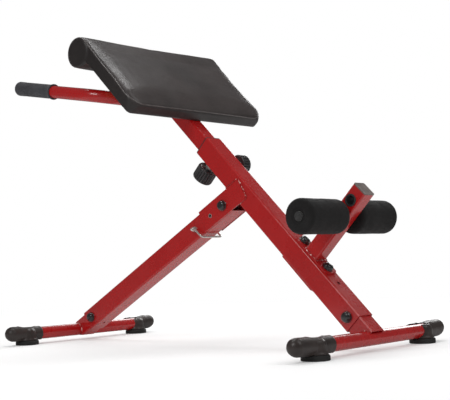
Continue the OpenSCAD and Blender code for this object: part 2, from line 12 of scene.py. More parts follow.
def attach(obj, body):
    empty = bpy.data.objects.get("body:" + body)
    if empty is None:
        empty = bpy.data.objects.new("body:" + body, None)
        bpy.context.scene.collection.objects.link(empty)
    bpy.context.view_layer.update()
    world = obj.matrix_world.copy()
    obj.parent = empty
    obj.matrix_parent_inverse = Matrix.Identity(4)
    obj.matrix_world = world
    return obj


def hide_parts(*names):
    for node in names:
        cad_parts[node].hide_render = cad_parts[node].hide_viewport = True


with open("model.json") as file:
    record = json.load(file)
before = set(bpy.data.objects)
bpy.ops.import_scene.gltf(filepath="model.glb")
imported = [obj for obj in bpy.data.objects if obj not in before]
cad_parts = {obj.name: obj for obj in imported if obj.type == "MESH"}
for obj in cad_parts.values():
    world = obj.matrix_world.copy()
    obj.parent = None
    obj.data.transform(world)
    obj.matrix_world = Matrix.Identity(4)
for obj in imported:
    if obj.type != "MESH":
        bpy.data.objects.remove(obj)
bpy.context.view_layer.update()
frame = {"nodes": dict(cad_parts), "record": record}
nodes = frame["nodes"]
scene = bpy.context.scene

# ---------------------------------------------------------------- places
REAR_X = 0.56175
FRONT_X = -0.56175
BAR_Z = 0.0325
UP_BEAM = Vector((-math.sqrt(0.5), 0.0, math.sqrt(0.5)))
OFF_BEAM = Vector((math.sqrt(0.5), 0.0, math.sqrt(0.5)))
ACROSS = Vector((0.0, 1.0, 0.0))


def on_beam(along, rise, y=0.0):
    """A point by its distances in millimetres along and square to the main tube's axis."""
    return Vector((REAR_X, 0, BAR_Z)) + UP_BEAM * along / 1000 + OFF_BEAM * rise / 1000 + ACROSS * y / 1000


PIVOT = on_beam(584, -72.3)
LEG_ANGLE = math.atan2(PIVOT.z - BAR_Z, PIVOT.x - FRONT_X)
LEG_LEN = (PIVOT - Vector((FRONT_X, 0, BAR_Z))).length * 1000
UP_LEG = Vector((math.cos(LEG_ANGLE), 0, math.sin(LEG_ANGLE)))
OFF_LEG = Vector((-math.sin(LEG_ANGLE), 0, math.cos(LEG_ANGLE)))


def on_leg(along, rise, y=0.0):
    """A point by its distances in millimetres along and square to the front leg's axis."""
    return Vector((FRONT_X, 0, BAR_Z)) + UP_LEG * along / 1000 + OFF_LEG * rise / 1000 + ACROSS * y / 1000


# Millimetres along the main tube, and square to it where a rise is given.
REAR_BOLT_AT = 75.8
CARRIAGE_AT = 270
CARRIAGE_BOLTS_AT = (218.5, 321.5)
AXLE_RISE = 167.7
SPARE_RISE = 224
CLAMP_AT, CLAMP_RISE = 677, 6
POP_PIN_AT = 720
SADDLE_AT, SADDLE_RISE = 1026, -44
# Millimetres along the front leg.
FRONT_BOLT_AT = 83.4
LATCH_AT = 697

HANDLE_TILT = math.radians(11.2)
HANDLE_AT = on_beam(SADDLE_AT, SADDLE_RISE)
FORWARD = Vector((-math.cos(HANDLE_TILT), 0, math.sin(HANDLE_TILT)))
GRIP_TIP = 391.0
GRIP_LEN = 176.0
HANDLE_Y = 222.0


# ---------------------------------------------------------------- meshes
def unit(x):
    """x held between 0 and 1."""
    return min(1.0, max(0.0, x))


def add(name, mesh_or_bm, body, material, smooth=True):
    """Makes an object of a mesh, paints it and puts it on its body."""
    if isinstance(mesh_or_bm, bmesh.types.BMesh):
        mesh = bpy.data.meshes.new(name)
        bmesh.ops.recalc_face_normals(mesh_or_bm, faces=mesh_or_bm.faces)
        mesh_or_bm.to_mesh(mesh)
        mesh_or_bm.free()
    else:
        mesh = mesh_or_bm
    for polygon in mesh.polygons:
        polygon.use_smooth = smooth
    obj = bpy.data.objects.new(name, mesh)
    scene.collection.objects.link(obj)
    mesh.materials.clear()
    mesh.materials.append(material)
    if body:
        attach(obj, body)
    return obj


def axis_matrix(origin, axis):
    """A frame with its Z along axis."""
    z = Vector(axis).normalized()
    guess = Vector((0, 0, 1)) if abs(z.z) < 0.9 else Vector((1, 0, 0))
    x = (guess - z * guess.dot(z)).normalized()
    y = z.cross(x)
    return Matrix((
        (x.x, y.x, z.x, origin[0]),
        (x.y, y.y, z.y, origin[1]),
        (x.z, y.z, z.z, origin[2]),
        (0, 0, 0, 1),
    ))


def bridge(bm, a, b):
    """Faces between two closed rings of as many vertices."""
    for i in range(len(a)):
        j = (i + 1) % len(a)
        bm.faces.new((a[i], a[j], b[j], b[i]))


def close_ends(bm, first, last):
    """Faces over the first and the last ring of a tube."""
    bm.faces.new(list(reversed(first)))
    bm.faces.new(last)


def lathe(bm, profile, steps, matrix, shape=None):
    """Turns (radius, height) pairs in millimetres about Z. shape(angle, radius, height) may change them.

    A profile that ends where it starts makes a closed ring.
    """
    rings = []
    for r, h in profile:
        if r < 1e-6:
            rings.append([bm.verts.new(matrix @ Vector((0, 0, h / 1000)))])
            continue
        ring = []
        for i in range(steps):
            t = 2 * math.pi * i / steps
            rr, hh = shape(t, r, h) if shape else (r, h)
            ring.append(bm.verts.new(matrix @ Vector((rr * math.cos(t) / 1000, rr * math.sin(t) / 1000, hh / 1000))))
        rings.append(ring)
    if profile[0] == profile[-1] and len(rings[0]) > 1:
        for v in rings.pop():
            bm.verts.remove(v)
        rings.append(rings[0])
    for a, b in zip(rings, rings[1:]):
        if len(a) == len(b) > 1:
            bridge(bm, a, b)
        elif len(a) != len(b):
            for i in range(steps):
                j = (i + 1) % steps
                bm.faces.new((a[0], b[j], b[i]) if len(a) == 1 else (a[i], a[j], b[0]))
    return bm


def rounded(points, steps=6):
    """A profile with rounded corners from (radius, height, corner radius) triples."""
    out = []
    for k, (x, y, r) in enumerate(points):
        if r <= 0 or k in (0, len(points) - 1):
            out.append((x, y))
            continue
        p = Vector((x, y))
        a = Vector(points[k - 1][:2]) - p
        b = Vector(points[k + 1][:2]) - p
        cut = min(r, a.length * 0.49, b.length * 0.49)
        p0 = p + a.normalized() * cut
        p1 = p + b.normalized() * cut
        for i in range(steps + 1):
            t = i / steps
            q = p0 * (1 - t) ** 2 + p * 2 * t * (1 - t) + p1 * t ** 2
            out.append((q.x, q.y))
    return out


def finer(profile, pieces):
    """A profile with more points. pieces(a, b) says in how many parts the line from a to b is cut."""
    out = []
    for a, b in zip(profile, profile[1:]):
        out.append(a)
        count = pieces(a, b)
        for k in range(1, count):
            t = k / count
            out.append((a[0] + (b[0] - a[0]) * t, a[1] + (b[1] - a[1]) * t))
    out.append(profile[-1])
    return out


def tube_path(bm, points, radius, sides, swell=None):
    """A round tube along points, in metres. swell(i) may scale its radius."""
    count = len(points)
    rings = []
    normal = None
    for i, p in enumerate(points):
        tangent = (points[min(i + 1, count - 1)] - points[max(i - 1, 0)]).normalized()
        if normal is None:
            normal = tangent.orthogonal().normalized()
        normal = (normal - tangent * normal.dot(tangent)).normalized()
        side = tangent.cross(normal)
        r = radius * (swell(i) if swell else 1.0)
        turns = [2 * math.pi * k / sides for k in range(sides)]
        rings.append([bm.verts.new(p + (normal * math.cos(a) + side * math.sin(a)) * r) for a in turns])
    for a, b in zip(rings, rings[1:]):
        bridge(bm, a, b)
    close_ends(bm, rings[0], rings[-1])


def smooth_path(points, step):
    """Points at an even step along a chain of straight lines, in metres."""
    out = [points[0].copy()]
    for a, b in zip(points, points[1:]):
        n = max(1, round((b - a).length / step))
        for i in range(1, n + 1):
            out.append(a.lerp(b, i / n))
    return out


# ---------------------------------------------------------------- materials
def put(node, **sockets):
    """Sets the constants on a node's own sockets. An underscore stands for a space in their names."""
    for name, constant in sockets.items():
        node.inputs[name.replace("_", " ")].default_value = constant


def tone(base, k):
    return tuple(min(1.0, c * k) for c in base)


class Finish:
    """A procedural material: colour and roughness that vary, and layers of bump."""

    def __init__(self, name, base, rough, metal=0.0, coat=0.0, coat_rough=0.05, sheen=0.0, specular=0.5):
        self.m = bpy.data.materials.new(name)
        self.m.use_nodes = True
        self.tree = self.m.node_tree
        self.link = self.tree.links.new
        self.bsdf = self.tree.nodes["Principled BSDF"]
        put(self.bsdf, Base_Color=(*base, 1), Roughness=rough, Metallic=metal, Coat_Weight=coat,
            Coat_Roughness=coat_rough, Sheen_Weight=sheen, Specular_IOR_Level=specular)
        self.base = base
        self.last_colour = None
        self.texcoord = self.tree.nodes.new("ShaderNodeTexCoord")
        self.where = self.texcoord.outputs["Object"]
        self.normal = None

    def node(self, kind, **settings):
        n = self.tree.nodes.new(kind)
        for k, v in settings.items():
            setattr(n, k, v)
        return n

    def stretch(self, scale):
        mapping = self.node("ShaderNodeMapping")
        put(mapping, Scale=scale)
        self.link(self.where, mapping.inputs["Vector"])
        return mapping.outputs["Vector"]

    def noise(self, scale, detail=3.0, rough=0.5, at=None):
        n = self.node("ShaderNodeTexNoise")
        put(n, Scale=scale, Detail=detail, Roughness=rough)
        self.link(at or self.where, n.inputs["Vector"])
        return n.outputs["Fac"]

    def cells(self, scale):
        n = self.node("ShaderNodeTexVoronoi", feature="F1")
        put(n, Scale=scale, Randomness=1.0)
        self.link(self.where, n.inputs["Vector"])
        return n.outputs["Distance"]

    def ramp(self, source, low, high, a=0.0, b=1.0):
        """Runs smoothly from a to b as source runs from low to high."""
        r = self.node("ShaderNodeMapRange", interpolation_type="SMOOTHSTEP")
        put(r, From_Min=low, From_Max=high, To_Min=a, To_Max=b)
        self.link(source, r.inputs["Value"])
        return r.outputs["Result"]

    def over(self, source, tint, under=None):
        """Lays a tint, by source, over the colour under, or else over the colour so far."""
        mix = self.node("ShaderNodeMix", data_type="RGBA")
        if under:
            put(mix, A=(*under, 1))
        else:
            self.link(self.last_colour, mix.inputs["A"])
        put(mix, B=(*tint, 1))
        self.link(source, mix.inputs["Factor"])
        self.last_colour = mix.outputs["Result"]
        self.link(self.last_colour, self.bsdf.inputs["Base Color"])

    def colour(self, source, dark, light):
        """The base colour runs from dark to light with a noise."""
        self.over(self.ramp(source, 0.3, 0.7), light, dark)

    def mottle(self, source, dark, light):
        """The base colour runs between two tones of itself with a noise."""
        self.colour(source, tone(self.base, dark), tone(self.base, light))

    def gloss(self, source, low, high):
        """The roughness runs from low to high with a noise."""
        self.link(self.ramp(source, 0.25, 0.75, low, high), self.bsdf.inputs["Roughness"])

    def bump(self, source, distance, strength=1.0):
        """Adds a layer of bump, in metres."""
        b = self.node("ShaderNodeBump")
        put(b, Distance=distance, Strength=strength)
        self.link(source, b.inputs["Height"])
        if self.normal:
            self.link(self.normal, b.inputs["Normal"])
        self.normal = b.outputs["Normal"]
        self.link(self.normal, self.bsdf.inputs["Normal"])


def red_paint():
    base = (0.345, 0.0042, 0.0045)
    f = Finish("red_paint", base, 0.28, coat=0.6, coat_rough=0.06, specular=0.45)
    f.mottle(f.noise(7, 3), 0.95, 1.05)
    f.over(f.ramp(f.noise(190, 5, 0.7), 0.7, 0.82, 0, 0.3), tone(base, 0.6))
    f.gloss(f.noise(18, 4, 0.6), 0.24, 0.31)
    f.bump(f.noise(420, 2), 0.000008)
    f.bump(f.noise(30, 3), 0.00001)
    return f.m


def vinyl():
    base = (0.0335, 0.0262, 0.025)
    f = Finish("vinyl", base, 0.45, specular=0.5, coat=0.15, coat_rough=0.3)
    f.mottle(f.noise(5, 5, 0.6), 0.75, 1.35)
    f.over(f.ramp(f.cells(620), 0.55, 0.8, 0, 0.5), tone(base, 0.4))
    # Painted shade: the cover is painted darker where it turns away from its top, on its sides and low end, so the
    # top reads as the lit face.
    shade_by_facing = f.node("ShaderNodeVectorMath", operation="DOT_PRODUCT")
    shade_by_facing.inputs[1].default_value = OFF_BEAM
    f.link(f.texcoord.outputs["Normal"], shade_by_facing.inputs[0])
    f.over(f.ramp(shade_by_facing.outputs["Value"], 0.3, 0.75, 0.6, 0.0), tone(base, 0.3))
    f.gloss(f.noise(14, 6, 0.6), 0.38, 0.52)
    f.bump(f.cells(620), 0.0001)
    f.bump(f.noise(1600, 2), 0.00002)
    f.bump(f.noise(22, 4), 0.0009, 0.7)
    return f.m


def foam():
    base = (0.0085, 0.0078, 0.0078)
    f = Finish("black_foam", base, 0.85, sheen=0.04, specular=0.22)
    f.mottle(f.noise(7, 5, 0.6), 0.75, 1.4)
    f.over(f.ramp(f.cells(900), 0.1, 0.35, 0.5, 0), tone(base, 0.35))
    f.gloss(f.noise(40, 4), 0.74, 0.92)
    f.bump(f.cells(900), 0.0004)
    f.bump(f.noise(260, 5, 0.7), 0.0006)
    f.bump(f.noise(35, 3), 0.0012, 0.6)
    return f.m


def grip_foam():
    base = (0.034, 0.034, 0.04)
    f = Finish("grip_foam", base, 0.7, sheen=0.1, specular=0.35)
    f.mottle(f.noise(18, 5, 0.6), 0.75, 1.25)
    f.gloss(f.noise(60, 4), 0.6, 0.8)
    f.bump(f.cells(1100), 0.00025)
    f.bump(f.noise(300, 4, 0.7), 0.0003)
    return f.m


def cap_plastic():
    base = (0.030, 0.0222, 0.0198)
    f = Finish("cap_plastic", base, 0.4, specular=0.5)
    f.mottle(f.noise(14, 5, 0.6), 0.78, 1.2)
    f.over(f.ramp(f.noise(90, 6, 0.7), 0.63, 0.75, 0, 0.35), (0.09, 0.082, 0.078))
    f.gloss(f.noise(45, 5, 0.6), 0.3, 0.46)
    f.bump(f.noise(1300, 3, 0.6), 0.00008)
    f.bump(f.noise(28, 3), 0.0004, 0.6)
    return f.m


def plain_plastic(name, base, rough, grain=1200, coat=0.0):
    f = Finish(name, base, rough, specular=0.5, coat=coat, coat_rough=0.16)
    f.mottle(f.noise(30, 5, 0.6), 0.8, 1.25)
    f.gloss(f.noise(80, 4), max(0.05, rough - 0.08), rough + 0.08)
    f.bump(f.noise(grain, 3, 0.6), 0.00008)
    return f.m


def rubber():
    base = (0.016, 0.0155, 0.015)
    f = Finish("foot_rubber", base, 0.75, specular=0.35)
    f.mottle(f.noise(30, 5, 0.6), 0.7, 1.4)
    f.over(f.ramp(f.noise(140, 6, 0.7), 0.6, 0.72, 0, 0.4), (0.06, 0.055, 0.05))
    f.gloss(f.noise(60, 4), 0.65, 0.85)
    f.bump(f.noise(900, 4, 0.7), 0.00025)
    return f.m


def plated_steel():
    base = (0.52, 0.5, 0.48)
    f = Finish("plated_steel", base, 0.33, metal=0.75)
    f.mottle(f.noise(60, 5, 0.7), 0.8, 1.15)
    f.gloss(f.noise(200, 4), 0.26, 0.42)
    f.bump(f.noise(1500, 2, at=f.stretch((1, 8, 1))), 0.00002)
    return f.m


def chrome():
    base = (0.76, 0.7, 0.66)
    f = Finish("chrome", base, 0.12, metal=0.78)
    f.mottle(f.noise(90, 4, 0.7), 0.88, 1.06)
    f.gloss(f.noise(150, 4), 0.12, 0.24)
    f.bump(f.noise(800, 3), 0.00002)
    return f.m


def plywood():
    base = (0.44, 0.29, 0.16)
    f = Finish("plywood", base, 0.7, specular=0.3)
    grain = f.noise(30, 6, 0.65, at=f.stretch((1.0, 0.06, 1.0)))
    f.mottle(grain, 0.62, 1.15)
    f.over(f.ramp(f.noise(240, 4, 0.6, at=f.stretch((1.0, 0.05, 1.0))), 0.55, 0.7, 0, 0.5), tone(base, 0.45))
    f.gloss(f.noise(60, 4), 0.62, 0.8)
    f.bump(grain, 0.0004)
    return f.m


MATS = {
    "red_paint": red_paint(),
    "vinyl": vinyl(),
    "black_foam": foam(),
    "grip_foam": grip_foam(),
    "cap_plastic": cap_plastic(),
    "foot_rubber": rubber(),
    "black_plastic": plain_plastic("black_plastic", (0.02, 0.02, 0.021), 0.5),
    "knob_plastic": plain_plastic("knob_plastic", (0.024, 0.022, 0.023), 0.34, coat=0.5),
    "bolt_cap_plastic": plain_plastic("bolt_cap_plastic", (0.012, 0.012, 0.0125), 0.3, coat=1.0),
    "grey_plastic": plain_plastic("grey_plastic", (0.115, 0.09, 0.082), 0.55),
    "plated_steel": plated_steel(),
    "chrome": chrome(),
    "plywood": plywood(),
}

for part in frame["record"]["subparts"]:
    slots = nodes[part["node"]].data.materials
    paint = MATS[part["material_slot"]]
    if not slots:
        slots.append(paint)
    for i in range(len(slots)):
        slots[i] = paint

# ---------------------------------------------------------------- thigh pad
# Millimetres along, across and square to the main tube.
PAD_LOW = 26.0
PAD_END = 851.0
PAD_TOP = 1092.0
PAD_HALF = 273.0
ROLL_AT = 1138.0
ROLL_RISE = 22.5
ROLL_R = 44.0


def plan(inset, corner, low=PAD_END, top=PAD_TOP):
    """The pad's plan, anticlockwise, with round corners at its low end, the far one tighter."""
    low, half = low + inset, PAD_HALF - inset
    out = [(top, -half), (top, half)]
    for sy in (1, -1):
        r = max(3.0, corner * (0.6 if sy > 0 else 1.0))
        for k in range(9):
            a = math.pi / 2 * k / 8
            if sy > 0:
                out.append((low + r - r * math.sin(a), half - r + r * math.cos(a)))
            else:
                out.append((low + r - r * math.cos(a), -half + r - r * math.sin(a)))
    return out


def crown(u, y):
    """How high the foam's top stands before it is stuffed."""
    end = 1 - (1 - unit((u - PAD_END - 10) / 75)) ** 2.2
    side = 1 - (1 - unit((PAD_HALF - 6 - abs(y)) / 110)) ** 2.2
    near_roll = unit((u - 1000) / 100)
    return 56.0 + 11.0 * end + 4.0 * end * side * (1 - 0.7 * near_roll) - 0.5 * near_roll


def pad_shape():
    """Closed foam shapes, in millimetres along, across and square to the main tube: a slab and a roll."""
    bm = bmesh.new()
    centre = ((PAD_END + PAD_TOP) / 2, 0.0)
    outline = [
        [(u, y, PAD_LOW + 1.2) for u, y in plan(16, 8)],
        [(u, y, 21.2) for u, y in plan(7, 10)],
        [(u, y, 21.6) for u, y in plan(1.5, 13)],
        [(u, y, 27.0) for u, y in plan(0, 16)],
        [(u, y, 43.0) for u, y in plan(0, 28, low=PAD_END + 2)],
        [(u, y, crown(u, y) - 4.0) for u, y in plan(0.5, 38, low=PAD_END + 3)],
        [(u, y, crown(u, y) - 0.5) for u, y in plan(4, 42, low=PAD_END + 4)],
    ]
    rings = [[bm.verts.new(p) for p in ring] for ring in outline]
    top = outline[-1]
    for k in range(1, 9):
        t = k / 9
        ring = []
        for u, y, _ in top:
            uu = u + (centre[0] - u) * t
            yy = y + (centre[1] - y) * t
            ring.append(bm.verts.new((uu, yy, crown(uu, yy))))
        rings.append(ring)
    for low, high in zip(rings, rings[1:]):
        bridge(bm, low, high)
    bm.faces.new(list(reversed(rings[0])))
    hub = bm.verts.new((*centre, crown(*centre)))
    for i in range(len(rings[-1])):
        bm.faces.new((rings[-1][i], rings[-1][(i + 1) % len(rings[-1])], hub))
    steps = 48
    stations = ((-PAD_HALF - 5, ROLL_R - 5), (-PAD_HALF + 1, ROLL_R),
                (PAD_HALF - 1, ROLL_R), (PAD_HALF + 5, ROLL_R - 5))
    turns = [2 * math.pi * k / steps for k in range(steps)]
    roll = [[bm.verts.new((ROLL_AT + r * math.cos(a), y, ROLL_RISE + r * math.sin(a))) for a in turns]
            for y, r in stations]
    for k in range(steps):
        j = (k + 1) % steps
        for a, b in zip(roll, roll[1:]):
            bm.faces.new((a[k], a[j], b[j], b[k]))
    close_ends(bm, roll[0], roll[-1])
    neck = [(1050, 22.8), (1106, 21.0), (ROLL_AT, PAD_LOW), (ROLL_AT, 66.3), (1050, 65.2)]
    sides = [[bm.verts.new((u, y, n)) for u, n in neck] for y in (-PAD_HALF + 0.5, PAD_HALF - 0.5)]
    bridge(bm, *sides)
    close_ends(bm, *sides)
    for v in bm.verts:
        v.co /= 1000
    return bm


def apply(obj, modifier):
    """Turns a modifier's result into the object's mesh."""
    bpy.context.view_layer.objects.active = obj
    obj.select_set(True)
    bpy.ops.object.modifier_apply(modifier=modifier.name)
    obj.select_set(False)


def modify(obj, kind, **settings):
    """Adds a modifier and applies it."""
    modifier = obj.modifiers.new(kind.lower(), kind)
    for name, setting in settings.items():
        setattr(modifier, name, setting)
    apply(obj, modifier)


def relax(mesh, turns):
    """Smooths a mesh."""
    bm = bmesh.new()
    bm.from_mesh(mesh)
    for _ in range(turns):
        bmesh.ops.smooth_vert(bm, verts=bm.verts[:], factor=0.5)
    bm.to_mesh(mesh)
    bm.free()


def stuff(obj, held, most):
    """Swells a closed mesh like a stuffed cover, outwards only, and by no more than most, in metres.

    held(co) says which of its points stay where they are.
    """
    frames = 20
    start = [(v.co.copy(), v.normal.copy()) for v in obj.data.vertices]
    group = obj.vertex_groups.new(name="held")
    group.add([i for i, (co, _) in enumerate(start) if held(co)], 1.0, "REPLACE")
    cloth = obj.modifiers.new("cloth", "CLOTH")
    for name, setting in (
            ("quality", 6), ("mass", 0.35), ("tension_stiffness", 22), ("compression_stiffness", 22),
            ("shear_stiffness", 12), ("bending_stiffness", 1.2), ("use_pressure", True),
            ("uniform_pressure_force", 4.0), ("vertex_group_mass", "held")):
        setattr(cloth.settings, name, setting)
    cloth.settings.effector_weights.gravity = 0.0
    cloth.collision_settings.use_collision = False
    cloth.point_cache.frame_start = 1
    cloth.point_cache.frame_end = frames
    for f in range(1, frames + 1):
        scene.frame_set(f)
        bpy.context.evaluated_depsgraph_get()
    apply(obj, cloth)
    scene.frame_set(1)
    out = [min(most, max(0.0, (v.co - old).dot(normal))) for v, (old, normal) in zip(obj.data.vertices, start)]
    beside = [[] for _ in out]
    for edge in obj.data.edges:
        a, b = edge.vertices
        beside[a].append(b)
        beside[b].append(a)
    for _ in range(16):
        out = [(out[i] + sum(out[j] for j in near)) / (1 + len(near)) for i, near in enumerate(beside)]
    for v, (old, normal), far in zip(obj.data.vertices, start, out):
        v.co = old + normal * far
    obj.vertex_groups.clear()


def on_board(co):
    """Whether a point of the cover, in metres, is held to the board."""
    return co.z < 0.0285 and 0.862 < co.x < 1.08 and abs(co.y) < 0.256


PAD_VOXEL = 0.005
MOST_SWELL = 0.005
PAD_CEILING = 0.0765
pad = add("pad_cover", pad_shape(), None, MATS["vinyl"])
modify(pad, "REMESH", mode="VOXEL", voxel_size=PAD_VOXEL, use_smooth_shade=True)
relax(pad.data, 2)
stuff(pad, on_board, MOST_SWELL)
relax(pad.data, 2)
# Small dents, a flat top, a tucked and slightly fuller far side, and a flat underside over the board, in metres.
for v in pad.data.vertices:
    soft = noise.noise(Vector((v.co.x * 9, v.co.y * 7, v.co.z * 9))) * 0.0012
    soft += noise.noise(Vector((v.co.x * 34, v.co.y * 22, v.co.z * 30))) * 0.0004
    if v.co.z > 0.032 or v.co.x > 1.085:
        v.co.z += soft
    v.co.z = min(v.co.z, PAD_CEILING)
    far = unit(v.co.y / (PAD_HALF / 1000))
    if far > 0.8 and v.co.x < 1.1:
        tuck = 0.0095 * unit((0.042 - v.co.z) / 0.018) + 0.0035 * unit((v.co.z - 0.042) / 0.014)
        v.co.y -= tuck * (far - 0.8) / 0.2
    v.co.z += 0.0055 * far * unit((v.co.z - 0.03) / 0.03)
    if 0.876 < v.co.x < 1.07 and abs(v.co.y) < 0.248 and v.co.z < 0.034:
        v.co.z = max(v.co.z, 0.0268)
modify(pad, "SUBSURF", levels=1)
skin = bmesh.new()
skin.from_mesh(pad.data)
pad_tree = BVHTree.FromBMesh(skin)
skin.free()


def to_world(co):
    """Metres along, across and square to the main tube, to the row frame."""
    return on_beam(co[0] * 1000, co[2] * 1000, co[1] * 1000)


def place_local(obj):
    """Moves a mesh made in the main tube's own directions into the row frame."""
    for v in obj.data.vertices:
        v.co = to_world(v.co)
    obj.data.flip_normals()


def on_skin(p, out):
    """The point of the pad's surface nearest to p, raised by out, and the surface's normal there, in metres."""
    hit, normal, _, _ = pad_tree.find_nearest(p)
    return hit + normal * out, normal


def seam_line():
    """The edge of the pad's top panel, from one end of the roll round the low end to the other."""
    line = []
    for k in range(26):
        a = math.radians(-118 + 208 * k / 25)
        line.append((ROLL_AT + 45 * math.cos(a), -PAD_HALF - 3, ROLL_RISE + 45 * math.sin(a)))
    line += [(u, -PAD_HALF - 1, n) for u, n in ((1100, 63), (1040, 61.5), (960, 61.5), (PAD_END + 56, 59))]
    for k in range(1, 9):
        a = math.pi / 2 * k / 8
        line.append((PAD_END + 52 - 46 * math.sin(a), -PAD_HALF + 42 - 42 * math.cos(a), 58.5 - 3.5 * k / 8))
    half = [Vector(p) / 1000 for p in line]
    other = [Vector((p.x, -p.y, p.z)) for p in reversed(half)]
    return half + other


route = [on_skin(p, 0.0004) for p in smooth_path(seam_line(), 0.004)]
for _ in range(3):
    route = [route[0]] + [((a[0] + b[0] * 2 + c[0]) / 4, (a[1] + b[1] * 2 + c[1]).normalized())
                          for a, b, c in zip(route, route[1:], route[2:])] + [route[-1]]
welt = bmesh.new()
tube_path(welt, [p for p, _ in route], 0.0019, sides=8)
# Painted highlight: the piping is painted lighter than the cover's vinyl, so the seam shows as the light line along
# the pad's edge.
piping = Finish("piping", (0.075, 0.066, 0.064), 0.36, coat=0.4, coat_rough=0.2)
piping.colour(piping.noise(60, 5, 0.6), (0.055, 0.047, 0.045), (0.095, 0.084, 0.081))
piping.bump(piping.cells(900), 0.00012)
welt = add("pad_welt", welt, None, piping.m)

STITCH_STEP = 0.0062
STITCH_INSET = 0.0052
stitches = bmesh.new()
run = 0.0
for (a, na), (b, _) in zip(route, route[1:]):
    along = b - a
    run += along.length
    if run < STITCH_STEP:
        continue
    run = 0.0
    inward = na.cross(along).normalized()
    middle, normal = on_skin(a + inward * STITCH_INSET, 0.0002)
    t = along.normalized()
    tube_path(stitches, [middle - t * 0.0018 - normal * 0.0005, middle - t * 0.0009, middle + t * 0.0009,
                         middle + t * 0.0018 - normal * 0.0005], 0.00042, sides=6)
thread = plain_plastic("thread", (0.03, 0.028, 0.028), 0.6, 3000)
stitches = add("pad_stitches", stitches, None, thread)

hem = bmesh.new()
edge = plan(1.5, 42, top=1090.0)
loop = smooth_path([Vector((u / 1000, y / 1000, 0)) for u, y in edge + edge[:1]], 0.006)[:-1]
centre = Vector((0.97, 0, 0))


def hem_frame(i):
    """The direction along the hem at point i of its loop, and the one towards the pad's middle."""
    ahead = (loop[(i + 1) % len(loop)] - loop[i - 1]).normalized()
    inward = Vector((-ahead.y, ahead.x, 0))
    return ahead, -inward if inward.dot(centre - loop[i]) < 0 else inward


rows = []
for i, p in enumerate(loop):
    _, inward = hem_frame(i)
    corner = max(0.0, 1 - min(abs(abs(p.y) - 0.24) / 0.05, 1)) * max(0.0, 1 - abs(p.x - 0.872) / 0.05)
    pleat = corner * 0.0012 * math.cos(i * 1.9)
    width = 0.028 + 0.003 * noise.noise(Vector((p.x * 40, p.y * 40, 3.0)))
    row = []
    for t, lift in ((0.0, 0.0012), (0.12, -0.0006), (0.5, -0.0011), (0.92, -0.0011), (1.0, -0.0001)):
        q = p + inward * width * t
        row.append(hem.verts.new((q.x, q.y, 0.026 + lift - pleat * math.sin(math.pi * t))))
    rows.append(row)
for a, b in zip(rows, rows[1:] + rows[:1]):
    for k in range(4):
        hem.faces.new((a[k], a[k + 1], b[k + 1], b[k]))
hem = add("pad_hem", hem, None, MATS["vinyl"])

staples = bmesh.new()
for i in range(0, len(loop), 4):
    ahead, inward = hem_frame(i)
    q = loop[i] + inward * 0.019 + Vector((0, 0, 0.0246))
    turn = ahead * 0.0055
    if abs(q.y) < 0.145 and 0.88 < q.x < 1.035:
        continue
    tube_path(staples, [q - turn + Vector((0, 0, 0.0008)), q - turn * 0.94, q + turn * 0.94,
                        q + turn + Vector((0, 0, 0.0008))], 0.00055, sides=6)
staples = add("pad_staples", staples, None, MATS["plated_steel"])

for piece, paint in ((pad, "vinyl"), (welt, "vinyl"), (stitches, "vinyl"), (hem, "vinyl"), (staples, "plated_steel")):
    place_local(piece)
    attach(piece, "pad_post")
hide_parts("thigh_pad")

# ---------------------------------------------------------------- foam rollers
AXLE = on_beam(CARRIAGE_AT, AXLE_RISE)
for side, name in ((-1, "near"), (1, "far")):
    profile = rounded([
        (12.56, 27.3, 0), (12.56, 27.0, 0), (15.0, 26.9, 1), (45.1, 27.4, 21), (45.1, 189.0, 21),
        (23.0, 189.4, 5), (19.5, 187.6, 2), (17.0, 187.4, 1), (12.56, 187.8, 0), (12.56, 27.3, 0),
    ], 12)
    profile = finer(profile, lambda a, b: int(math.hypot(b[0] - a[0], b[1] - a[1]) // 4) + 1)

    def pitted(t, r, h, side=side):
        if r < 14:
            return r, h
        p = Vector((r * math.cos(t) / 9, r * math.sin(t) / 9, side * h / 9))
        return r + 0.28 * noise.noise(p) + 0.12 * noise.noise(p * 4) - 0.35 * (0.5 - 0.5 * math.cos(h * 0.075)), h

    bm = lathe(bmesh.new(), profile, 144, axis_matrix(AXLE, (0, side, 0)), pitted)
    roller = add(f"roller_foam_{name}", bm, f"{name}_roller", MATS["black_foam"])
    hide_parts(f"roller_{name}")

plugs = bmesh.new()
for side in (-1, 1):
    lathe(plugs, rounded([
        (10.2, 174, 0), (10.2, 187.9, 0), (12.2, 188.1, 0.4), (12.2, 190.6, 1.2), (8.6, 191, 0.8),
        (7.8, 189.9, 0.6), (2.6, 189.7, 0.4), (2.2, 190.2, 0.4), (0, 190.3, 0),
    ], 4), 48, axis_matrix(AXLE, (0, side, 0)))
plug_grey = plain_plastic("plug_plastic", (0.024, 0.023, 0.023), 0.5)
plugs = add("axle_end_plugs", plugs, "rear_frame", plug_grey)
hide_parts("axle_plugs")

# ---------------------------------------------------------------- sleeve of the spare axle hole
spares = lathe(bmesh.new(), rounded([
    (11.8, 0, 0), (11.8, 25.0, 0.9), (16.3, 25.0, 1.4), (16.7, 22.55, 0.5), (15.0, 22.55, 0.2),
    (15.0, -22.55, 0.2), (16.7, -22.55, 0.5), (16.3, -25.0, 1.4), (11.8, -25.0, 0.9), (11.8, 0, 0),
], 4), 64, axis_matrix(on_beam(CARRIAGE_AT, SPARE_RISE), ACROSS))
spares = add("spare_bush_sleeve", spares, "rear_frame", MATS["black_plastic"])
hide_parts("spare_bushes")

